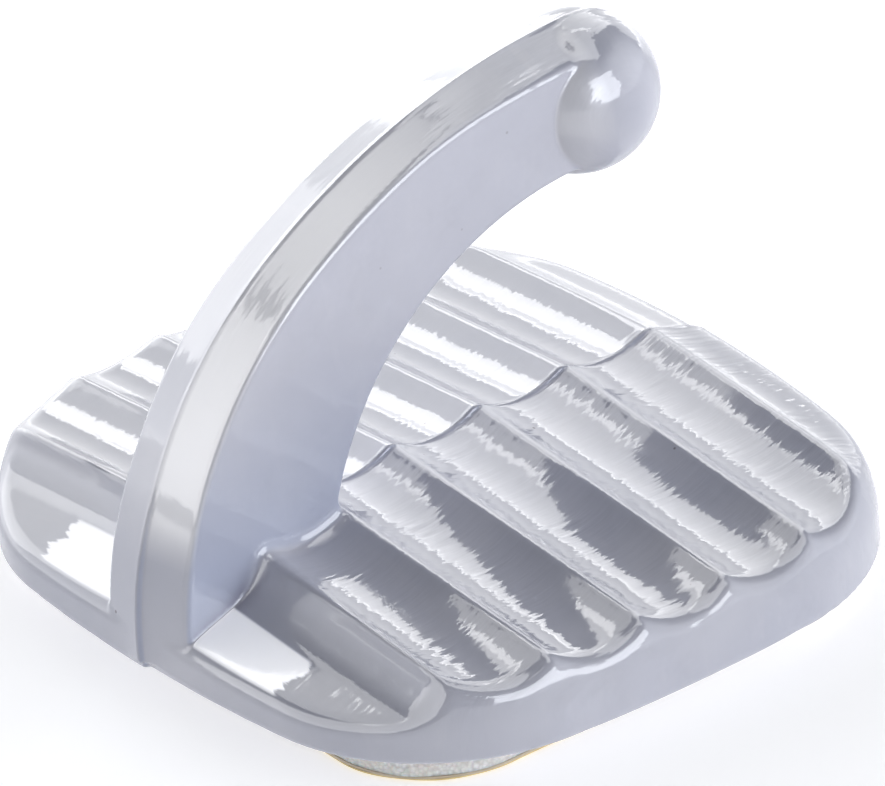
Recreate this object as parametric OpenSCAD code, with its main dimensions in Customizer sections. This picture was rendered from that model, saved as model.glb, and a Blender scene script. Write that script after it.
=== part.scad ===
// Self-adhesive wall hook. A fluted, gabled plate carries one curved arm that ends
// in a ball. A foam mounting pad with an adhesive film on each face lies under it,
// and a release liner covers the film that faces the wall.
// Origin: on the wall, under the middle of the plate. +Z points away from the wall,
// +Y runs from the root of the arm toward the ball, +X runs across the plate.
// All lengths are in millimetres.

/* [Plate] */
// Width of the plate, along the flutes
plate_w = 50; // [47:0.5:56]
// Length of the plate, across the flutes
plate_l = 44.6; // [44:0.2:48]
// Thickness of the plate at its middle ridge
plate_t = 7.6; // [7.2:0.1:8.4]
// Radius of the four corners in plan
corner_r = 13.9; // [11:0.1:15]
// How far the middle of each side stands out past its corners
side_bulge = 0.34; // [0.2:0.02:0.6]
// How far the middle of each end stands out past its corners
end_bulge = 0.6; // [0.4:0.02:0.8]
// Height of the upright band round the edge
edge_band = 1.9; // [1.4:0.1:2.6]

/* [Flutes] */
// Distance from one crest to the next
flute_pitch = 6.6; // [6.2:0.05:6.8]
// Radius of the hollow of each flute
flute_r = 6.0; // [5:0.1:7]
// Angle at which the crests fall from the middle to each side
gable_angle = 4.7; // [3:0.1:5.5]
// Slope of the plain land below the arm
land_angle = 19; // [16:0.5:22]
// Step between the two halves at the parting line
parting_step = 0.35; // [0.1:0.05:0.5]

/* [Arm] */
// Radius of the upper part of the arm's back
back_r_top = 42; // [41.5:0.1:42.5]
// Radius of the lower part of the arm's back
back_r_root = 26.9; // [26.6:0.1:27.2]
// Radius of the inner side of the arm
inner_r = 21.1; // [20.6:0.1:21.4]
// Thickness of the arm across its root
arm_w_root = 7.6; // [7:0.1:8.4]
// Thickness of the arm across its tip
arm_w_tip = 6.2; // [5.6:0.1:6.8]
// How far the middle of the arm's back stands over its edges
back_crown = 0.9; // [0.5:0.1:1.2]
// Radius of the ball
ball_r = 5.15; // [4.8:0.05:5.6]

/* [Pad] */
// Width of the pad
pad_w = 43.2; // [40:0.2:45]
// Length of the pad
pad_l = 37; // [34:0.2:39]
// How far the pad's centre lies from the plate's, toward the arm's root
pad_shift = 0.4; // [0:0.1:0.8]
// Radius of the pad's corners
pad_r = 7.5; // [5:0.5:10]
// Thickness of the foam
foam_t = 1.6; // [1:0.1:2.4]
// Thickness of each adhesive film
film_t = 0.15; // [0.1:0.05:0.25]
// Thickness of the release liner
liner_t = 0.1; // [0.1:0.05:0.2]

/* [Hidden] */

// Heights of the layers, from the wall outward
film_wall_z = liner_t;
foam_z = film_wall_z + film_t;
film_hook_z = foam_z + foam_t;
plate_z = film_hook_z + film_t;
ridge_z = plate_z + plate_t;
band_z = plate_z + edge_band;

// Plan of the plate: a corner arc between a long side arc and a long end arc
half_w = plate_w / 2;
half_l = plate_l / 2;
corner_x = half_w - side_bulge - corner_r;
corner_y = half_l - end_bulge - corner_r;
side_dx = corner_x - half_w;
end_dy = corner_y - half_l;
side_r = (side_dx * side_dx + corner_y * corner_y - corner_r * corner_r) / (-2 * (side_dx + corner_r));
end_r = (end_dy * end_dy + corner_x * corner_x - corner_r * corner_r) / (-2 * (end_dy + corner_r));
side_cx = half_w - side_r;
end_cy = half_l - end_r;
side_n = sqrt((corner_x - side_cx) * (corner_x - side_cx) + corner_y * corner_y);
end_n = sqrt(corner_x * corner_x + (corner_y - end_cy) * (corner_y - end_cy));
side_tx = corner_x + corner_r * (corner_x - side_cx) / side_n;
side_ty = corner_y + corner_r * corner_y / side_n;
end_tx = corner_x + corner_r * corner_x / end_n;
end_ty = corner_y + corner_r * (corner_y - end_cy) / end_n;

// Shoulders that lead from the upright band to the fluted face
side_shoulder_r = 6.3;
far_shoulder_r = 5.75;
near_shoulder_r = 3;

// Flutes, in a frame whose top plane holds the crests
first_crest_y = -half_l + 6.28;
flute_count = 6;
flute_axis_z = sqrt(flute_r * flute_r - flute_pitch * flute_pitch / 4);
crest_flat = 0.06;

// Land between the near edge and the first crest, with a hollow that leads up
land_z = -4.4;
land_sweep_r = 3.4;
land_c = cos(land_angle);
land_s = sin(land_angle);
land_dy = first_crest_y + half_l + land_sweep_r * land_s;
land_dz = -crest_flat - land_z - land_sweep_r * land_c;
land_b = land_dy * land_c + land_dz * land_s;
land_q = land_dy * land_dy + land_dz * land_dz - land_sweep_r * land_sweep_r;
land_t = land_b - sqrt(land_b * land_b - land_q);
land_ty = -half_l + land_t * land_c;
land_tz = land_z + land_t * land_s;

// Arm: two tangent arcs for the back, one for the inner side
ball_y = 12.8;
ball_z = plate_z + 25.8;
back_top_z = ball_z + 5.2;
back_c1_z = back_top_z - back_r_top;
split_angle = 55.7;
back_c2_y = ball_y - (back_r_top - back_r_root) * cos(split_angle);
back_c2_z = back_c1_z + (back_r_top - back_r_root) * sin(split_angle);
inner_cy = 10.4;
inner_cz = plate_z + 1.36;
arm_root_z = plate_z + 1;

// Stands a shape drawn in Y and Z up and sweeps it along X
module along_x(length) {
    translate([-length / 2, 0, 0])
        rotate([90, 0, 90])
            linear_extrude(length)
                children();
}

// Plan of the plate
module plate_outline() {
    intersection() {
        translate([side_cx, 0]) circle(side_r, $fn = 180);
        translate([-side_cx, 0]) circle(side_r, $fn = 180);
        translate([0, end_cy]) circle(end_r, $fn = 180);
        translate([0, -end_cy]) circle(end_r, $fn = 180);
        polygon([
            [200, 0], [side_tx, side_ty], [end_tx, end_ty], [0, 200],
            [-end_tx, end_ty], [-side_tx, side_ty], [-200, 0],
            [-side_tx, -side_ty], [-end_tx, -end_ty], [0, -200],
            [end_tx, -end_ty], [side_tx, -side_ty]
        ]);
    }
    for (sx = [-1, 1])
        for (sy = [-1, 1])
            translate([sx * corner_x, sy * corner_y])
                circle(corner_r, $fn = 96);
}

// Upright band and convex shoulder at one side, drawn in X and Z
module side_profile() {
    translate([0, plate_z]) square([half_w - side_shoulder_r, plate_t + 2]);
    translate([0, plate_z]) square([half_w, edge_band]);
    translate([half_w - side_shoulder_r, band_z]) circle(side_shoulder_r, $fn = 72);
}

// Upright band and convex shoulder at each end, drawn in Y and Z
module end_profile() {
    near_y = -half_l + near_shoulder_r;
    translate([near_y, plate_z])
        square([half_l - far_shoulder_r - near_y, plate_t + 2]);
    translate([-half_l, plate_z]) square([2 * half_l, edge_band]);
    translate([half_l - far_shoulder_r, band_z]) circle(far_shoulder_r, $fn = 72);
    translate([near_y, band_z]) circle(near_shoulder_r, $fn = 72);
}

// Everything cut away from the top, in the frame of the crests
module top_cut() {
    translate([-10, -40, -crest_flat]) cube([60, 80, 20]);
    for (k = [0:flute_count - 1])
        translate([-10, first_crest_y + (k + 0.5) * flute_pitch, flute_axis_z])
            rotate([0, 90, 0])
                cylinder(h = 60, r = flute_r, $fn = 96);
    translate([20, 0, 0])
        along_x(60) {
            polygon([
                [-half_l - 10, land_z - 10 * land_s / land_c],
                [land_ty, land_tz], [land_ty, 8], [-half_l - 10, 8]
            ]);
            translate([land_ty - land_sweep_r * land_s, land_tz + land_sweep_r * land_c])
                circle(land_sweep_r, $fn = 96);
        }
}

// One half of the plate, on the +X side of the parting plane
module plate_half() {
    difference() {
        intersection() {
            translate([0, 0, plate_z]) linear_extrude(plate_t) plate_outline();
            translate([0, 40, 0]) rotate([90, 0, 0]) linear_extrude(80) side_profile();
            along_x(80) end_profile();
            translate([0, -40, 0]) cube([40, 80, 40]);
        }
        translate([0, 0, ridge_z]) rotate([0, gable_angle, 0]) top_cut();
    }
}

// Double cone about an X axis, whose rim is the parting line on the arm's back
module crowned_disc(r) {
    rotate([0, 90, 0])
        cylinder(h = arm_w_root / 2, r1 = r, r2 = r - back_crown, $fn = 180);
    rotate([0, -90, 0])
        cylinder(h = arm_w_root / 2, r1 = r, r2 = r - back_crown, $fn = 180);
}

// Upper part of the arm's back
module back_top() {
    intersection() {
        translate([0, ball_y, back_c1_z]) crowned_disc(back_r_top);
        along_x(20)
            polygon([
                [ball_y, back_c1_z],
                [ball_y, back_c1_z + 80],
                [ball_y - 100 * cos(split_angle), back_c1_z + 100 * sin(split_angle)]
            ]);
    }
}

// Lower part of the arm's back, down into the plate
module back_root() {
    intersection() {
        translate([0, back_c2_y, back_c2_z]) crowned_disc(back_r_root);
        along_x(20)
            polygon([
                [back_c2_y, back_c2_z],
                [back_c2_y - 100 * cos(split_angle), back_c2_z + 100 * sin(split_angle)],
                [-100, arm_root_z], [back_c2_y, arm_root_z]
            ]);
    }
}

// Curved arm, thinner at its tip than at its root
module arm() {
    intersection() {
        difference() {
            union() {
                back_top();
                back_root();
            }
            translate([-10, inner_cy, inner_cz])
                rotate([0, 90, 0])
                    cylinder(h = 20, r = inner_r, $fn = 180);
        }
        translate([0, 40, 0])
            rotate([90, 0, 0])
                linear_extrude(80)
                    polygon([
                        [-arm_w_root / 2, 0], [arm_w_root / 2, 0],
                        [arm_w_root / 2, arm_root_z],
                        [arm_w_tip / 2, back_top_z + 1], [-arm_w_tip / 2, back_top_z + 1],
                        [-arm_w_root / 2, arm_root_z]
                    ]);
    }
}

// Plate, arm and ball, moulded in one
module hook_body() {
    color("gainsboro") {
        plate_half();
        translate([0, -parting_step, 0]) mirror([1, 0, 0]) plate_half();
        arm();
        translate([0, ball_y, ball_z]) sphere(ball_r, $fn = 64);
    }
}

// One layer of the pad, with its rounded corners
module pad_layer(z, t) {
    translate([0, -pad_shift, z])
        linear_extrude(t) {
            square([pad_w - 2 * pad_r, pad_l], center = true);
            square([pad_w, pad_l - 2 * pad_r], center = true);
            for (sx = [-1, 1])
                for (sy = [-1, 1])
                    translate([sx * (pad_w / 2 - pad_r), sy * (pad_l / 2 - pad_r)])
                        circle(pad_r, $fn = 72);
        }
}

// Film between the foam and the plate
module adhesive_film_hook_side() {
    color("burlywood") pad_layer(film_hook_z, film_t);
}

// Foam that takes up the unevenness of the wall
module foam_core() {
    color("white") pad_layer(foam_z, foam_t);
}

// Film that grips the wall
module adhesive_film_wall_side() {
    color("tan") pad_layer(film_wall_z, film_t);
}

// Liner that covers the wall film until it is peeled off
module release_liner() {
    color("gold") pad_layer(0, liner_t);
}

hook_body();
adhesive_film_hook_side();
foam_core();
adhesive_film_wall_side();
release_liner();
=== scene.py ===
"""Looks of the self-adhesive wall hook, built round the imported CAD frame."""

import math

import bpy
import numpy as np
from mathutils import Matrix, Vector


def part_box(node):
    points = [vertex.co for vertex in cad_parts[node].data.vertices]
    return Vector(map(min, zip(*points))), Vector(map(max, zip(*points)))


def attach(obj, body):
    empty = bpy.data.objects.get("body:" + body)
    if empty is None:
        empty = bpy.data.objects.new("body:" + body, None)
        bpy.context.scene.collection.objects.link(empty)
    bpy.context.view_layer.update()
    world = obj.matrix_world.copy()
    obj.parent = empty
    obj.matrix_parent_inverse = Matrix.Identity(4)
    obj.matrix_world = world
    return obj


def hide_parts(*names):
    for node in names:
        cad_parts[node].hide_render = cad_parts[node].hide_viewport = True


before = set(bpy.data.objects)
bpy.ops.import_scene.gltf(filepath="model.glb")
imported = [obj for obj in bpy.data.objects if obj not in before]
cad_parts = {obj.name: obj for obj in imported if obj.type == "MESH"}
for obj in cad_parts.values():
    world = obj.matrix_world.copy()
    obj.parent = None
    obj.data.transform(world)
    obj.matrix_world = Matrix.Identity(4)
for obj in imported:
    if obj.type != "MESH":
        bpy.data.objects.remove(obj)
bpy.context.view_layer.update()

# ---------------------------------------------------------------- dimensions
# Lengths are in millimetres until a mesh is written. The overall sizes are read
# from the frame. The rest are the moulding's own radii, heights and angles,
# which the frame does not hold.
MM = 0.001


def box_mm(node):
    """Lowest and highest corner of a CAD node, in millimetres."""
    lo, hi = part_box(node)
    return np.array(lo) / MM, np.array(hi) / MM


HOOK_LO, HOOK_HI = box_mm("hook_body")

HALF_W = HOOK_HI[0]
HALF_L = HOOK_HI[1]
PLATE_Z = HOOK_LO[2]
BACK_TOP = HOOK_HI[2]

# The parting line: the step between the mould halves, which partly fades up the
# arm, and the thin flash that stands along it
PARTING_STEP = -HOOK_LO[1] - HALF_L
STEP_HALF = 0.18
STEP_FADE = 0.75
STEP_FADE_Z = (7, 16)
FLASH_HEIGHT = 0.05
FLASH_HALF = 0.16
FLASH_Z = (0.3, 1.2)

# The plate: its gable, whose x > 0 side lies a little lower, outline and shoulders
RIDGE_Z = PLATE_Z + 7.6
GABLE = math.radians(4.7)
RIGHT_DROP = 0.15
DROP_HALF = 0.15
BAND_Z = PLATE_Z + 1.9
CORNER_R = 13.9
SIDE_BULGE = 0.34
END_BULGE = 0.6
SHOULDER_SIDE = 6.3
SHOULDER_FAR = 5.75
SHOULDER_NEAR = 3.0
SHOULDER_NEAR_GROWTH = 4.5
NEAR_GROWTH_X = (11, 20)
NEAR_TO_SIDE_Y = (-20, -12)
SIDE_TO_FAR_Y = (8, 18)

# The flutes, and the land with its sweep up to the first crest
PITCH = 6.6
FLUTE_R = 6.0
FLUTES = 6
FLUTE_AXIS = math.sqrt(FLUTE_R**2 - PITCH**2 / 4)
FIRST_CREST = -HALF_L + 6.28
CREST_FLAT = 0.06
LAND_ANGLE = math.radians(19)
LAND_Z = -4.4
SWEEP_R = 3.4

# The arm and its ball
BALL_Y = 12.8
BALL_Z = PLATE_Z + 25.8
BALL_R = 5.15
BACK_R_TOP = 42.0
BACK_R_ROOT = 26.9
SPLIT = math.radians(55.7)
INNER_R = 21.1
INNER_Y = 10.4
INNER_Z = PLATE_Z + 1.36
ARM_HALF_ROOT = 3.8
ARM_HALF_TIP = 3.1
ARM_TAPER = 30
CROWN_ROOT = 0.7
CROWN_TIP = 1.35
CROWN_Y = (-2, 11)
ARM_FOOT_Z = PLATE_Z + 0.5

# How wide the rounding is where two faces meet
FLUTE_EDGE = 0.16
LAND_EDGE = 0.35
TOP_EDGE = 0.9
UNDERSIDE_EDGE = 0.35
ARM_EDGE = 0.45
ARM_INNER_EDGE = 0.5
ARM_TIP_EDGE = 0.3
ROOT_FILLET = 0.2
ROOT_FILLET_GROWTH = 0.9
ROOT_FILLET_Z = (6.0, 8.5)
BALL_NECK = 0.15

# The grid the moulding's surface is found on. It is finer across x at each fine
# place, a (centre, reach)
GRID_MARGIN = 0.6
GRID_YZ = 0.24
GRID_X = 0.36
GRID_X_FINE = 0.12
FINE_PLACES = [(0, 0.5), (-3.5, 0.6), (3.5, 0.6)]

# The pad's layers. A cut edge wanders at random, and is set in by WANDER_ROOM
# times that, to keep it inside the CAD's outline
PAD_R = 7.5
PAD_POINTS = 720
PAD_INSETS = (0.97, 0.8, 0.5, 0.2)
WANDER_ROOM = 1.6
SAG_X = 0.31
SAG_Y = 0.27
SAG_START = 1.1


# ------------------------------------------------------------ distance fields
def smooth_min(a, b, k):
    """The lesser of two distances, with the crease between them filled."""
    h = np.maximum(k - np.abs(a - b), 0) / k
    return np.minimum(a, b) - h * h * k / 4


def smooth_max(a, b, k):
    """The greater of two distances, with the edge between them rounded."""
    return -smooth_min(-a, -b, k)


def ramp(lo, hi, v):
    """Rises smoothly from 0 at lo to 1 at hi."""
    t = np.clip((v - lo) / (hi - lo), 0, 1)
    return t * t * (3 - 2 * t)


def arc_through(extent, corner, across):
    """Radius of the long arc that meets an edge's middle and a corner arc."""
    gap = corner - extent
    return (gap**2 + across**2 - CORNER_R**2) / (-2 * (gap + CORNER_R))


CORNER_X = HALF_W - SIDE_BULGE - CORNER_R
CORNER_Y = HALF_L - END_BULGE - CORNER_R
SIDE_R = arc_through(HALF_W, CORNER_X, CORNER_Y)
END_R = arc_through(HALF_L, CORNER_Y, CORNER_X)
SIDE_CX = HALF_W - SIDE_R
END_CY = HALF_L - END_R


def plan_edge(x, y):
    """Distance from the plate's outline in plan, negative inside."""
    ax, ay = np.abs(x), np.abs(y)
    wx, wy = ax - CORNER_X, ay - CORNER_Y
    side = np.hypot(ax - SIDE_CX, ay) - SIDE_R
    end = np.hypot(ax, ay - END_CY) - END_R
    corner = np.hypot(wx, wy) - CORNER_R
    past_side = (CORNER_X - SIDE_CX) * wy - CORNER_Y * wx
    past_end = CORNER_X * wy - (CORNER_Y - END_CY) * wx
    return np.where(past_side < 0, side, np.where(past_end > 0, end, corner))


LAND_SIN, LAND_COS = math.sin(LAND_ANGLE), math.cos(LAND_ANGLE)


def land_length():
    """Length of the land, up to where the sweep to the first crest leaves it."""
    dy = FIRST_CREST + HALF_L + SWEEP_R * LAND_SIN
    dz = -CREST_FLAT - LAND_Z - SWEEP_R * LAND_COS
    along = dy * LAND_COS + dz * LAND_SIN
    return along - math.sqrt(along * along - dy * dy - dz * dz + SWEEP_R**2)


LAND_END_Y = -HALF_L + land_length() * LAND_COS
LAND_END_Z = LAND_Z + land_length() * LAND_SIN
SWEEP_Y = LAND_END_Y - SWEEP_R * LAND_SIN
SWEEP_Z = LAND_END_Z + SWEEP_R * LAND_COS


def fluted_top(y, w):
    """The plate's fluted face, where w is the height over the crest plane."""
    d = w + CREST_FLAT
    for k in range(FLUTES):
        centre = FIRST_CREST + (k + 0.5) * PITCH
        flute = FLUTE_R - np.hypot(y - centre, w - FLUTE_AXIS)
        d = smooth_max(d, flute, FLUTE_EDGE)
    land = (w - LAND_Z) * LAND_COS - (y + HALF_L) * LAND_SIN
    sweep = SWEEP_R - np.hypot(y - SWEEP_Y, w - SWEEP_Z)
    return smooth_max(d, np.where(y < LAND_END_Y, land, sweep), LAND_EDGE)


def shoulder_radius(side, y):
    """Radius of the plate's rounded shoulder, least at the middle of the near edge."""
    near = SHOULDER_NEAR + SHOULDER_NEAR_GROWTH * ramp(*NEAR_GROWTH_X, side)
    far = SHOULDER_SIDE + (SHOULDER_FAR - SHOULDER_SIDE) * ramp(*SIDE_TO_FAR_Y, y)
    return near + (far - near) * ramp(*NEAR_TO_SIDE_Y, y)


def plate(x, y, z):
    """The gabled plate with its flutes and shoulders."""
    side = np.abs(x)
    edge = plan_edge(side, y)
    r = shoulder_radius(side, y)
    q, h = edge + r, z - BAND_Z
    shoulder = np.hypot(np.maximum(q, 0), np.maximum(h, 0)) + np.minimum(np.maximum(q, h), 0) - r
    lower = RIGHT_DROP * ramp(-DROP_HALF, DROP_HALF, x)
    w = side * math.sin(GABLE) + (z - RIDGE_Z + lower) * math.cos(GABLE)
    d = smooth_max(shoulder, fluted_top(y, w), TOP_EDGE)
    return smooth_max(d, PLATE_Z - z, UNDERSIDE_EDGE)


C1_Z = BACK_TOP - BACK_R_TOP
C2_Y = BALL_Y - (BACK_R_TOP - BACK_R_ROOT) * math.cos(SPLIT)
C2_Z = C1_Z + (BACK_R_TOP - BACK_R_ROOT) * math.sin(SPLIT)


def arm(x, y, z):
    """The curved arm: crowned back, flat flanks, round inner side."""
    side = np.abs(x)
    half = ARM_HALF_ROOT + (ARM_HALF_TIP - ARM_HALF_ROOT) * np.clip((z - PLATE_Z) / ARM_TAPER, 0, 1)
    upper = (y - BALL_Y) * math.sin(SPLIT) + (z - C1_Z) * math.cos(SPLIT) > 0
    back_top = np.hypot(y - BALL_Y, z - C1_Z) - BACK_R_TOP
    back_root = np.hypot(y - C2_Y, z - C2_Z) - BACK_R_ROOT
    crown = CROWN_ROOT + (CROWN_TIP - CROWN_ROOT) * ramp(*CROWN_Y, y)
    back = np.where(upper, back_top, back_root) + crown * side / half
    inner = INNER_R - np.hypot(y - INNER_Y, z - INNER_Z)
    d = smooth_max(back, side - half, ARM_EDGE)
    d = smooth_max(d, inner, ARM_INNER_EDGE)
    d = smooth_max(d, y - BALL_Y, ARM_TIP_EDGE)
    return np.maximum(d, ARM_FOOT_Z - z)


def hook(x, y, z):
    """The whole moulding: plate, arm and ball, with the step between its halves."""
    left = 1 - ramp(-STEP_HALF, STEP_HALF, x)
    fade = 1 - STEP_FADE * ramp(*STEP_FADE_Z, z)
    stepped = y + PARTING_STEP * left * fade
    ball = np.sqrt(x * x + (y - BALL_Y) ** 2 + (z - BALL_Z) ** 2) - BALL_R
    fillet = ROOT_FILLET + ROOT_FILLET_GROWTH * ramp(*ROOT_FILLET_Z, z)
    d = smooth_min(plate(x, stepped, z), arm(x, stepped, z), fillet)
    d = smooth_min(d, ball, BALL_NECK)
    flash = FLASH_HEIGHT * np.exp(-((x / FLASH_HALF) ** 2)) * ramp(*FLASH_Z, z - PLATE_Z)
    return d - flash


# ------------------------------------------------------- surface from a field
def graded(lo, hi, coarse, fine, spots):
    """Grid lines from lo to hi, closer together near each (centre, reach)."""
    out = [lo]
    while out[-1] < hi:
        near = any(abs(out[-1] - c) < reach for c, reach in spots)
        out.append(out[-1] + (fine if near else coarse))
    return np.array(out)


CORNERS = [(i, j, k) for i in (0, 1) for j in (0, 1) for k in (0, 1)]


def crossed_cells(inside):
    """The grid cells the surface passes through, and each one's number."""
    shape = tuple(n - 1 for n in inside.shape)
    count = np.zeros(shape, np.int8)
    for i, j, k in CORNERS:
        count += inside[i : i + shape[0], j : j + shape[1], k : k + shape[2]]
    cell = np.argwhere((count > 0) & (count < 8))
    ids = np.full(shape, -1, np.int64)
    ids[tuple(cell.T)] = np.arange(len(cell))
    return cell, ids


def cell_points(f, lines, cell):
    """One point in each cell, the mean of where the surface cuts its edges."""
    total, hits = np.zeros((len(cell), 3)), np.zeros(len(cell))
    for axis in range(3):
        for corner in CORNERS:
            if corner[axis]:
                continue
            a = cell + corner
            b = a.copy()
            b[:, axis] += 1
            fa, fb = f[tuple(a.T)], f[tuple(b.T)]
            cut = (fa < 0) != (fb < 0)
            t = np.where(cut, fa / np.where(cut, fa - fb, 1), 0)
            pa = np.stack([lines[m][a[:, m]] for m in range(3)], 1)
            pb = np.stack([lines[m][b[:, m]] for m in range(3)], 1)
            total += (pa + (pb - pa) * t[:, None]) * cut[:, None]
            hits += cut
    return total / hits[:, None]


def cell_quads(inside, ids):
    """A quad round each grid edge the surface crosses, facing outward."""
    quads = []
    for axis in range(3):
        u, v = (axis + 1) % 3, (axis + 2) % 3
        first = [slice(1, -1)] * 3
        first[axis] = slice(0, -1)
        second = list(first)
        second[axis] = slice(1, None)
        here = inside[tuple(first)]
        edge = np.argwhere(here != inside[tuple(second)])
        keep = here[tuple(edge.T)]
        edge[:, u] += 1
        edge[:, v] += 1
        around = []
        for du, dv in ((1, 1), (0, 1), (0, 0), (1, 0)):
            at = edge.copy()
            at[:, u] -= du
            at[:, v] -= dv
            around.append(ids[tuple(at.T)])
        quad = np.stack(around, 1)
        quads.append(np.where(keep[:, None], quad, quad[:, ::-1]))
    return np.concatenate(quads)


def surface_net(field, xs, ys, zs):
    """Vertices and quads of a field's zero surface, one vertex in each crossed cell."""
    f = np.empty((len(xs), len(ys), len(zs)), np.float32)
    for i, x in enumerate(xs):
        f[i] = field(x, ys[:, None], zs[None, :])
    inside = f < 0
    cell, ids = crossed_cells(inside)
    return cell_points(f, (xs, ys, zs), cell), cell_quads(inside, ids)


def gradient(field, p, step=0.02):
    """Slope of a field at each point, by central differences."""
    out = np.empty_like(p)
    for m in range(3):
        d = np.zeros(3)
        d[m] = step
        out[:, m] = (field(*(p + d).T) - field(*(p - d).T)) / (2 * step)
    return out


def settle(field, p, passes=3, reach=0.12):
    """Moves each vertex onto the surface, and gives the surface's normals there."""
    for _ in range(passes):
        g = gradient(field, p)
        move = -field(*p.T)[:, None] * g / np.maximum((g * g).sum(1), 0.2)[:, None]
        length = np.linalg.norm(move, axis=1, keepdims=True)
        p = p + move * np.minimum(1, reach / np.maximum(length, 1e-9))
    g = gradient(field, p)
    return p, g / np.maximum(np.linalg.norm(g, axis=1, keepdims=True), 1e-9)


def new_mesh(name, verts_mm, faces):
    """A mesh object from millimetre points, shaded smooth."""
    mesh = bpy.data.meshes.new(name)
    mesh.from_pydata((verts_mm * MM).tolist(), [], faces)
    mesh.validate()
    mesh.shade_smooth()
    obj = bpy.data.objects.new(name, mesh)
    bpy.context.scene.collection.objects.link(obj)
    return obj


def hook_skin():
    """The moulding's surface, finest along the parting line and the arm's edges."""
    xs = graded(-HALF_W - GRID_MARGIN, HALF_W + GRID_MARGIN, GRID_X, GRID_X_FINE, FINE_PLACES)
    ys = graded(HOOK_LO[1] - GRID_MARGIN, HALF_L + GRID_MARGIN, GRID_YZ, GRID_YZ, [])
    zs = graded(PLATE_Z - GRID_MARGIN, BACK_TOP + GRID_MARGIN, GRID_YZ, GRID_YZ, [])
    verts, quads = surface_net(hook, xs, ys, zs)
    verts, normals = settle(hook, verts)
    skin = new_mesh("hook_moulding", verts, quads.tolist())
    skin.data.normals_split_custom_set_from_vertices(normals.tolist())
    return skin


# ---------------------------------------------------------------- pad layers
def pad_outline(half_w, half_l, r, count):
    """Points evenly spaced round a rectangle with round corners, and normals."""
    straight_x, straight_y = 2 * (half_w - r), 2 * (half_l - r)
    quarter = math.pi * r / 2
    runs = (straight_y, quarter, straight_x, quarter) * 2
    total = sum(runs)
    points, normals = [], []
    for i in range(count):
        s = total * i / count
        run = 0
        while s > runs[run]:
            s -= runs[run]
            run += 1
        turn = math.pi / 2 * (run // 2)
        if run % 4 < 2:
            reach, along, length = half_w, half_l, straight_y
        else:
            reach, along, length = half_l, half_w, straight_x
        if run % 2 == 0:
            local, normal = Vector((reach, s - length / 2)), Vector((1, 0))
        else:
            a = s / r
            normal = Vector((math.cos(a), math.sin(a)))
            local = Vector((reach - r, along - r)) + normal * r
        spin = Matrix.Rotation(turn, 2)
        points.append(spin @ local)
        normals.append(spin @ normal)
    return np.array(points), np.array(normals)


def ripple(count, rng, waves, amount):
    """A smooth closed run of random offsets, made of whole waves."""
    t = np.arange(count) / count * 2 * math.pi
    out = np.zeros(count)
    for n in waves:
        out += rng.normal() * np.sin(n * t + rng.uniform(0, 2 * math.pi))
    return out * amount / math.sqrt(len(waves))


def edge_rings(lo, hi, rng, rows, swell, wander, grain):
    """Rings round a layer's cut edge, from its underside to its top."""
    half = (hi - lo) / 2
    base, normal = pad_outline(half[0], half[1], PAD_R, PAD_POINTS)
    cut = ripple(PAD_POINTS, rng, range(3, 40), wander)
    rings = []
    for row in range(rows):
        t = row / (rows - 1)
        bulge = swell * (4 * t * (1 - t) - 1)
        rough = rng.uniform(-1, 0, PAD_POINTS) * grain * (0 < row < rows - 1)
        offset = (cut + bulge + rough - wander * WANDER_ROOM)[:, None]
        z = lo[2] + (hi[2] - lo[2]) * t
        rings.append(np.column_stack([base + normal * offset, np.full(PAD_POINTS, z)]))
    return rings


def sag_ring(ring, sag, top):
    """Moves a ring's points up or down a little, unless they are at the layer's top."""
    wave = np.sin(ring[:, 0] * SAG_X + SAG_START) * np.cos(ring[:, 1] * SAG_Y)
    ring[:, 2] = np.maximum(ring[:, 2] + sag * wave * (ring[:, 2] < top), 0)


def stack_faces(levels, count):
    """Quads between a stack's rings, and a fan to a hub at each end of it."""
    faces = []
    for r in range(levels - 1):
        for i in range(count):
            j = (i + 1) % count
            a, b = r * count, (r + 1) * count
            faces.append((a + i, a + j, b + j, b + i))
    low_hub, high_hub = levels * count, levels * count + 1
    last = (levels - 1) * count
    for i in range(count):
        j = (i + 1) % count
        faces.append((low_hub, j, i))
        faces.append((high_hub, last + i, last + j))
    return faces


def pad_layer(name, node, seed, rows, swell, wander, grain=0.0, sag=0.0):
    """One cut layer of the pad: its edge's rings, then rings in to the middle."""
    lo, hi = box_mm(node)
    rng = np.random.default_rng(seed)
    rings = edge_rings(lo, hi, rng, rows, swell, wander, grain)
    top = [rings[-1] * (s, s, 1) for s in PAD_INSETS]
    bottom = [rings[0] * (s, s, 1) for s in PAD_INSETS]
    stack = bottom[::-1] + rings + top
    if sag:
        for ring in stack:
            sag_ring(ring, sag, hi[2])
    verts = np.concatenate([*stack, [[0, 0, lo[2]], [0, 0, hi[2]]]])
    verts[:, :2] += (hi[:2] + lo[:2]) / 2
    obj = new_mesh(name, verts, stack_faces(len(stack), PAD_POINTS))
    obj.data.set_sharp_from_angle(angle=math.radians(35))
    return obj


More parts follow.
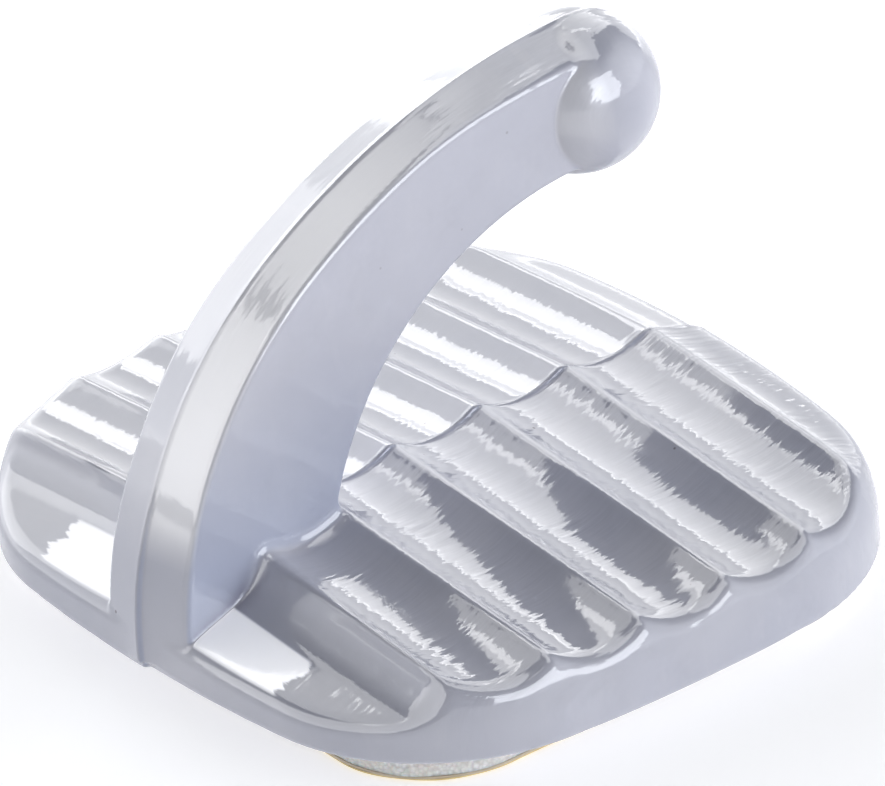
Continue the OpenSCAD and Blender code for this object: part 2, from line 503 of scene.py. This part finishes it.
# ------------------------------------------------------------------ materials
# In the materials, places and distances are in metres.
LAVENDER_DEEP = (0.47, 0.48, 0.55)
LAVENDER = (0.52, 0.525, 0.585)
FLOW_STREAK = (0.56, 0.56, 0.61)
SPECK = (0.16, 0.14, 0.16)
SEAM = (0.32, 0.32, 0.38)
# Painted light laid on the x > 0 half of the arm's back
ARM_BACK_PAINTED_LIGHT = (0.76, 0.755, 0.77)
# Painted shade at the root of the arm's x > 0 flank, and painted light toward the ball
ARM_ROOT_PAINTED_SHADE = (0.35, 0.40, 0.55)
ARM_UPPER_PAINTED_LIGHT = (0.62, 0.62, 0.69)
# Painted light on the land on both sides of the arm's root, paler still at x > 0
LAND_LEFT_PAINTED_LIGHT = (0.62, 0.62, 0.66)
LAND_RIGHT_PAINTED_LIGHT = (0.92, 0.92, 0.94)
# Painted shade in the corners where two faces shade each other
CREVICE_PAINTED_SHADE = (0.17, 0.15, 0.22)
FOAM_LIGHT = (0.90, 0.89, 0.87)
FOAM_DARK = (0.68, 0.67, 0.65)
FOAM_STAIN = (0.80, 0.74, 0.62)
TACKY_LIGHT = (0.62, 0.53, 0.40)
TACKY_DARK = (0.48, 0.39, 0.27)
LINER_LIGHT = (0.80, 0.67, 0.34)
LINER_DARK = (0.68, 0.53, 0.24)

# Where the moulding's finish and its painted light and shade change: a mask ramps between each pair of
# places
SEAM_X = (0.00003, 0.00012)
LAND_SIDE_X = (0.0128, 0.0131)
LAND_RIM_Y = (-0.0222, -0.0219)
ARM_BACK_Z = (0.0095, 0.0120)
FLANK_X = (0.0055, 0.0045)
FLANK_ROOT_Z = (0.020, 0.009)
FLANK_UPPER_Z = (0.014, 0.024)
WORKED_Y = (-0.0175, -0.0155)


class Nodes:
    """Short names for adding and joining the shader nodes of a material or world."""

    def __init__(self, owner, shader, coordinates):
        owner.use_nodes = True
        self.owner = owner
        self.tree = owner.node_tree
        self.shader = self.tree.nodes[shader]
        self.place = self.add("ShaderNodeTexCoord").outputs[coordinates]

    def add(self, kind, **values):
        node = self.tree.nodes.new(kind)
        for key, value in values.items():
            setattr(node, key, value)
        return node

    def join(self, source, target):
        self.tree.links.new(source, target)

    def feed(self, name, value):
        """Sets an input of the shader to a value, or joins a socket to it."""
        if isinstance(value, bpy.types.NodeSocket):
            self.join(value, self.shader.inputs[name])
        else:
            self.shader.inputs[name].default_value = value

    def split(self, vector):
        """The X, Y and Z of a vector."""
        node = self.add("ShaderNodeSeparateXYZ")
        self.join(vector, node.inputs[0])
        return node.outputs

    def stretched(self, scale):
        """Coordinates scaled by a number along each axis."""
        node = self.add("ShaderNodeMapping")
        node.inputs["Scale"].default_value = scale
        self.join(self.place, node.inputs["Vector"])
        return node.outputs["Vector"]

    def noise(self, scale, detail=3.0, rough=0.5):
        """Noise, where scale is cells per metre along each axis."""
        node = self.add("ShaderNodeTexNoise")
        node.inputs["Scale"].default_value = 1.0
        node.inputs["Detail"].default_value = detail
        node.inputs["Roughness"].default_value = rough
        self.join(self.stretched(scale), node.inputs["Vector"])
        return node.outputs["Fac"]

    def cells(self, per_metre):
        """Distance from the middle of each cell of a random pattern."""
        node = self.add("ShaderNodeTexVoronoi")
        node.inputs["Scale"].default_value = 1.0
        self.join(self.stretched((per_metre,) * 3), node.inputs["Vector"])
        return node.outputs["Distance"]

    def calc(self, operation, a, b=None):
        node = self.add("ShaderNodeMath", operation=operation)
        for socket, value in zip(node.inputs, (a, b), strict=False):
            if isinstance(value, (int, float)):
                socket.default_value = value
            elif value is not None:
                self.join(value, socket)
        return node.outputs["Value"]

    def times(self, first, *rest):
        """The product of all its factors."""
        for factor in rest:
            first = self.calc("MULTIPLY", first, factor)
        return first

    def remap(self, value, low, high, out_low, out_high, kind="LINEAR"):
        """Runs from out_low to out_high as value runs from low to high."""
        node = self.add("ShaderNodeMapRange", interpolation_type=kind)
        settings = {"From Min": low, "From Max": high, "To Min": out_low, "To Max": out_high}
        for key, number in settings.items():
            node.inputs[key].default_value = number
        self.join(value, node.inputs["Value"])
        return node.outputs["Result"]

    def blend(self, factor, a, b):
        """Colour a where factor is 0, b where it is 1."""
        node = self.add("ShaderNodeMix", data_type="RGBA")
        for socket, value in ((node.inputs[6], a), (node.inputs[7], b)):
            if isinstance(value, tuple):
                socket.default_value = (*value, 1)
            else:
                self.join(value, socket)
        self.join(factor, node.inputs[0])
        return node.outputs[2]

    def bump(self, height, distance, strength=1.0):
        node = self.add("ShaderNodeBump")
        node.inputs["Distance"].default_value = distance
        node.inputs["Strength"].default_value = strength
        self.join(height, node.inputs["Height"])
        return node.outputs["Normal"]


def surface(name):
    """Nodes of a new material, placed by the object's own coordinates."""
    return Nodes(bpy.data.materials.new(name), "Principled BSDF", "Object")


def moulded_tone(n):
    """Clouded lavender grey, with pale flow streaks and a few dark specks."""
    cloud = n.remap(n.noise((90, 90, 90), 2.0), 0.35, 0.65, 0, 1)
    colour = n.blend(cloud, LAVENDER_DEEP, LAVENDER)
    flow = n.remap(n.noise((120, 700, 260), 4.0, 0.6), 0.52, 0.74, 0, 0.35)
    colour = n.blend(flow, colour, FLOW_STREAK)
    speck = n.remap(n.cells(260), 0.02, 0.035, 0.8, 0)
    return n.blend(speck, colour, SPECK)


def land_mask(n, at, facing):
    """1 on the flat land on both sides of the arm's root, with ragged outer ends, where painted light
    goes.
    """
    ragged = n.calc("MULTIPLY", n.noise((300, 1500, 300), 3.0, 0.6), 0.0030)
    reach = n.calc("ADD", n.calc("ABSOLUTE", at["X"]), ragged)
    beside = n.remap(reach, *LAND_SIDE_X, 1, 0)
    below = n.remap(at["Y"], (LAND_END_Y + 0.1) * MM, (LAND_END_Y - 0.1) * MM, 0, 1)
    past_rim = n.remap(at["Y"], *LAND_RIM_Y, 0, 1)
    level = n.remap(facing["Z"], 0.80, 0.86, 0, 1)
    return n.times(beside, below, past_rim, level)


def arm_back_mask(n, at, facing, right):
    """1 on the x > 0 half of the arm's back, clear of the plate, where painted light and a clear coat go.
    """
    behind = n.remap(facing["Y"], -0.15, -0.45, 0, 1)
    raised = n.remap(at["Z"], *ARM_BACK_Z, 0, 1)
    return n.times(behind, raised, right)


def flank_painted_shading(n, at, facing, colour):
    """Painted shade and light on the arm's x > 0 flank: bluer and darker at its root, paler toward the
    ball.
    """
    flank = n.times(n.remap(facing["X"], 0.6, 0.9, 0, 1), n.remap(at["X"], *FLANK_X, 0, 1))
    low = n.remap(at["Z"], *FLANK_ROOT_Z, 0, 0.55)
    colour = n.blend(n.times(flank, low), colour, ARM_ROOT_PAINTED_SHADE)
    upper = n.remap(at["Z"], *FLANK_UPPER_Z, 0, 0.5)
    return n.blend(n.times(flank, upper), colour, ARM_UPPER_PAINTED_LIGHT)


def crevice_mask(n):
    """More than 0 in the corners where two faces shade each other."""
    corner = n.add("ShaderNodeAmbientOcclusion", samples=8)
    corner.inputs["Distance"].default_value = 0.0022
    return n.remap(corner.outputs["AO"], 0.45, 0.80, 0.65, 0)


def worked_normal(n, at, right):
    """Normals that each tool stroke across the flutes tips a little to one side."""
    stroke = n.remap(n.noise((3100, 260, 260), 3.0, 0.7), 0.25, 0.75, -0.16, 0.16)
    patchy = n.remap(n.noise((260, 260, 260), 2.0), 0.35, 0.65, 0.25, 1.0)
    less_on_left = n.remap(right, 0, 1, 0.4, 1.0)
    less_on_land = n.remap(at["Y"], *WORKED_Y, 0.2, 1.0)
    tip = n.add("ShaderNodeCombineXYZ")
    n.join(n.times(stroke, n.times(patchy, less_on_left, less_on_land)), tip.inputs["Y"])
    tipped = n.add("ShaderNodeVectorMath", operation="ADD")
    n.join(tip.outputs["Vector"], tipped.inputs[0])
    n.join(n.bump(n.noise((380, 380, 380), 2.0), 0.00002), tipped.inputs[1])
    even = n.add("ShaderNodeVectorMath", operation="NORMALIZE")
    n.join(tipped.outputs["Vector"], even.inputs[0])
    return even.outputs["Vector"]


def hook_plastic():
    """Glossy plastic: a soft clear coat and painted light on the land and half of the arm's back, painted
    shade and light on the flank, painted shade in corners.
    """
    n = surface("hook_plastic")
    at = n.split(n.place)
    facing = n.split(n.add("ShaderNodeNewGeometry").outputs["Normal"])
    right = n.remap(at["X"], -0.0003, 0.0003, 0, 1)
    land = land_mask(n, at, facing)
    arm_back = arm_back_mask(n, at, facing, right)

    seam = n.remap(n.calc("ABSOLUTE", at["X"]), *SEAM_X, 0.4, 0)
    colour = n.blend(seam, moulded_tone(n), SEAM)
    # Painted light: the x > 0 half of the arm's back is made paler
    colour = n.blend(n.times(arm_back, 0.6), colour, ARM_BACK_PAINTED_LIGHT)
    # Painted shade at the flank's root and painted light toward the ball
    colour = flank_painted_shading(n, at, facing, colour)
    # Painted light: the land is made paler, as a painted reflection
    colour = n.blend(land, colour, n.blend(right, LAND_LEFT_PAINTED_LIGHT, LAND_RIGHT_PAINTED_LIGHT))
    # Painted shade in the corners, but not on the land
    crevice = n.times(crevice_mask(n), n.calc("SUBTRACT", 1.0, land))
    n.feed("Base Color", n.blend(crevice, colour, CREVICE_PAINTED_SHADE))

    # The arm blocks the lights from the land at x > 0, so a faint glow stands in
    n.feed("Emission Color", (0.95, 0.96, 1.0, 1))
    n.feed("Emission Strength", n.times(land, right, 0.30))

    n.feed("Roughness", n.remap(n.noise((800, 800, 800), 5.0, 0.6), 0.3, 0.75, 0.03, 0.10))
    n.feed("IOR", 1.54)
    n.feed("Coat Weight", n.calc("MAXIMUM", n.times(arm_back, 0.7), land))
    n.feed("Coat Roughness", 0.30)
    n.feed("Coat IOR", 1.75)
    n.feed("Normal", worked_normal(n, at, right))
    return n.owner


def foam():
    """White closed-cell foam whose cut edge shows its cells."""
    n = surface("pad_foam")
    cells = n.cells(3600)
    tone = n.remap(cells, 0.15, 0.75, 0, 1)
    colour = n.blend(tone, FOAM_LIGHT, FOAM_DARK)
    stain = n.remap(n.noise((500, 500, 500)), 0.4, 0.7, 0, 0.25)
    n.feed("Base Color", n.blend(stain, colour, FOAM_STAIN))
    n.feed("Roughness", 0.85)
    n.feed("Subsurface Weight", 0.25)
    n.feed("Subsurface Scale", 0.0006)
    n.feed("Normal", n.bump(cells, 0.00012, 0.8))
    return n.owner


def film(name, light, dark, rough, mottle):
    """Thin film: two tones in streaks, a soft sheen and fine wrinkles."""
    n = surface(name)
    streak = n.remap(n.noise(mottle, 4.0, 0.6), 0.35, 0.68, 0, 1)
    n.feed("Base Color", n.blend(streak, light, dark))
    n.feed("Roughness", n.remap(streak, 0, 1, rough, rough + 0.15))
    n.feed("Normal", n.bump(n.noise((900, 500, 900), 3.0), 0.00003))
    return n.owner


# --------------------------------------------------------------------- pieces
def wear_material(obj, material):
    """Gives an object one material."""
    obj.data.materials.clear()
    obj.data.materials.append(material)


def stand_for(obj, node, body, material):
    """Puts a piece in place of a CAD node: its body and its finish."""
    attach(obj, body)
    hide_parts(node)
    wear_material(obj, material)


def build_pieces():
    stand_for(hook_skin(), "hook_body", "hook", hook_plastic())

    pad = pad_layer("foam_pad", "foam_core", seed=11, rows=15, swell=0.06, wander=0.05, grain=0.05)
    stand_for(pad, "foam_core", "hook", foam())

    tacky = film("adhesive_film", TACKY_LIGHT, TACKY_DARK, 0.30, (600, 300, 600))
    for side, seed in (("hook_side", 21), ("wall_side", 22)):
        node = "adhesive_film_" + side
        layer = pad_layer("film_" + side, node, seed=seed, rows=4, swell=0.01, wander=0.03)
        stand_for(layer, node, "hook", tacky)

    yellow = film("liner", LINER_LIGHT, LINER_DARK, 0.32, (220, 900, 220))
    sheet = pad_layer("liner_sheet", "release_liner", seed=31, rows=4, swell=0.01, wander=0.04, sag=0.012)
    stand_for(sheet, "release_liner", "liner", yellow)


# --------------------------------------------------------------------- studio
# Centre of the view, and the direction the camera looks from
AIM = Vector((0, 1.05, 11.4)) * MM
AZIMUTH = math.radians(54.6)
ELEVATION = math.radians(30.3)
ROLL = math.radians(-4.9)
CAMERA_DISTANCE = 1.497
LENS = 1008
SENSOR_WIDTH = 36

# Glow of the tent's two lobes, of the rest of the tent, and of the floor
LEFT_GLOW = 1.95
RIGHT_GLOW = 2.1
BASE_GLOW = 0.12
FLOOR_GLOW = 0.45
FLOOR_GLOW_LEFT = 2.0

FLOOR_REACH = 3.0
FLOOR_Z = -0.0001
FLOOR_GLOW_X = (-0.02, -0.12)


def heading(azimuth, elevation):
    """Unit vector from angles in degrees, azimuth measured from +X toward +Y."""
    a, e = math.radians(azimuth), math.radians(elevation)
    return Vector((math.cos(a) * math.cos(e), math.sin(a) * math.cos(e), math.sin(e)))


def card(name, azimuth, elevation, wide, high, glow, colour=(1, 1, 1), distance=0.6):
    """A bright card that only reflections see. wide and high are in degrees."""
    data = bpy.data.lights.new(name, "AREA")
    data.shape = "RECTANGLE"
    data.size = 2 * distance * math.tan(math.radians(wide / 2))
    data.size_y = 2 * distance * math.tan(math.radians(high / 2))
    data.energy = glow * math.pi * data.size * data.size_y
    data.color = colour
    lamp = bpy.data.objects.new(name, data)
    towards = heading(azimuth, elevation)
    lamp.location = AIM + towards * distance
    lamp.rotation_mode = "QUATERNION"
    lamp.rotation_quaternion = towards.to_track_quat("Z", "Y")
    lamp.visible_diffuse = False
    bpy.context.scene.collection.objects.link(lamp)


def floor_finish():
    """Pale and glowing, brighter out to the left, and clear when seen from below."""
    n = surface("pale_floor")
    n.feed("Base Color", (0.93, 0.93, 0.94, 1))
    n.feed("Roughness", 0.9)
    n.feed("Emission Color", (1, 1, 1, 1))
    across = n.split(n.place)["X"]
    n.feed("Emission Strength", n.remap(across, *FLOOR_GLOW_X, FLOOR_GLOW, FLOOR_GLOW_LEFT))
    clear = n.add("ShaderNodeBsdfTransparent")
    side = n.add("ShaderNodeMixShader")
    n.join(n.add("ShaderNodeNewGeometry").outputs["Backfacing"], side.inputs[0])
    n.join(n.shader.outputs[0], side.inputs[1])
    n.join(clear.outputs[0], side.inputs[2])
    n.join(side.outputs[0], n.tree.nodes["Material Output"].inputs["Surface"])
    return n.owner


def pale_floor():
    """A wide pale floor that the hook lies on."""
    r = FLOOR_REACH
    mesh = bpy.data.meshes.new("floor")
    mesh.from_pydata([(-r, -r, 0), (r, -r, 0), (r, r, 0), (-r, r, 0)], [], [(0, 1, 2, 3)])
    obj = bpy.data.objects.new("floor", mesh)
    obj.location.z = FLOOR_Z
    bpy.context.scene.collection.objects.link(obj)
    wear_material(obj, floor_finish())


def lobe(n, azimuth, inner, outer, glow):
    """A lobe of light. inner and outer are cosines of the angle from its middle."""
    dot = n.add("ShaderNodeVectorMath", operation="DOT_PRODUCT")
    dot.inputs[1].default_value = heading(azimuth, 0)
    n.join(n.place, dot.inputs[0])
    return n.remap(dot.outputs["Value"], outer, inner, 0, glow, "SMOOTHSTEP")


def light_tent():
    """Soft light from the left and the rear right, with a dark roof and camera side."""
    world = bpy.data.worlds.new("light_tent")
    bpy.context.scene.world = world
    n = Nodes(world, "Background", "Generated")
    below_roof = n.remap(n.split(n.place)["Z"], 0.80, 0.60, 0, 1, "SMOOTHSTEP")
    left = lobe(n, -165, 0.90, 0.50, LEFT_GLOW)
    rear_right = lobe(n, 42, 0.80, 0.40, RIGHT_GLOW)
    lobes = n.times(n.calc("ADD", left, rear_right), below_roof)
    n.feed("Color", (0.93, 0.95, 1.0, 1))
    n.feed("Strength", n.calc("ADD", lobes, BASE_GLOW))


def cards():
    """The cards that make the bands of light in the flutes, on the arm and on the ball."""
    card("left_rear", azimuth=137, elevation=43, wide=48, high=42, glow=5.0, distance=0.45)
    card("left_mid", azimuth=178, elevation=26, wide=46, high=30, glow=3.0)
    card("left_low", azimuth=140, elevation=6, wide=76, high=36, glow=2.1)
    card("left_wall", azimuth=-160, elevation=14, wide=44, high=44, glow=1.8)
    card("front_left", azimuth=-96, elevation=27, wide=62, high=46, glow=4.0)
    card("roof_left", azimuth=-138, elevation=66, wide=60, high=26, glow=3.4)
    card("overhead", azimuth=75, elevation=76, wide=50, high=26, glow=4.5)
    card("window_right", azimuth=8, elevation=21, wide=36, high=34, glow=7.0, colour=(0.92, 0.95, 1.0))


def camera():
    """A long lens, rolled a little, as the object is seen."""
    back = Vector((
        math.sin(AZIMUTH) * math.cos(ELEVATION),
        -math.cos(AZIMUTH) * math.cos(ELEVATION),
        math.sin(ELEVATION),
    ))
    right = (-back).cross(Vector((0, 0, 1))).normalized()
    up = right.cross(-back)
    rolled_right = right * math.cos(ROLL) + up * math.sin(ROLL)
    rolled_up = up * math.cos(ROLL) - right * math.sin(ROLL)
    data = bpy.data.cameras.new("camera")
    data.lens = LENS
    data.sensor_width = SENSOR_WIDTH
    data.clip_start, data.clip_end = 0.1, 20
    cam = bpy.data.objects.new("camera", data)
    cam.matrix_world = Matrix((rolled_right, rolled_up, back)).transposed().to_4x4()
    cam.location = AIM + back * CAMERA_DISTANCE
    bpy.context.scene.collection.objects.link(cam)
    bpy.context.scene.camera = cam


def studio():
    pale_floor()
    light_tent()
    cards()
    bpy.context.scene.view_settings.view_transform = "Standard"


build_pieces()
studio()
camera()

bpy.context.view_layer.update()
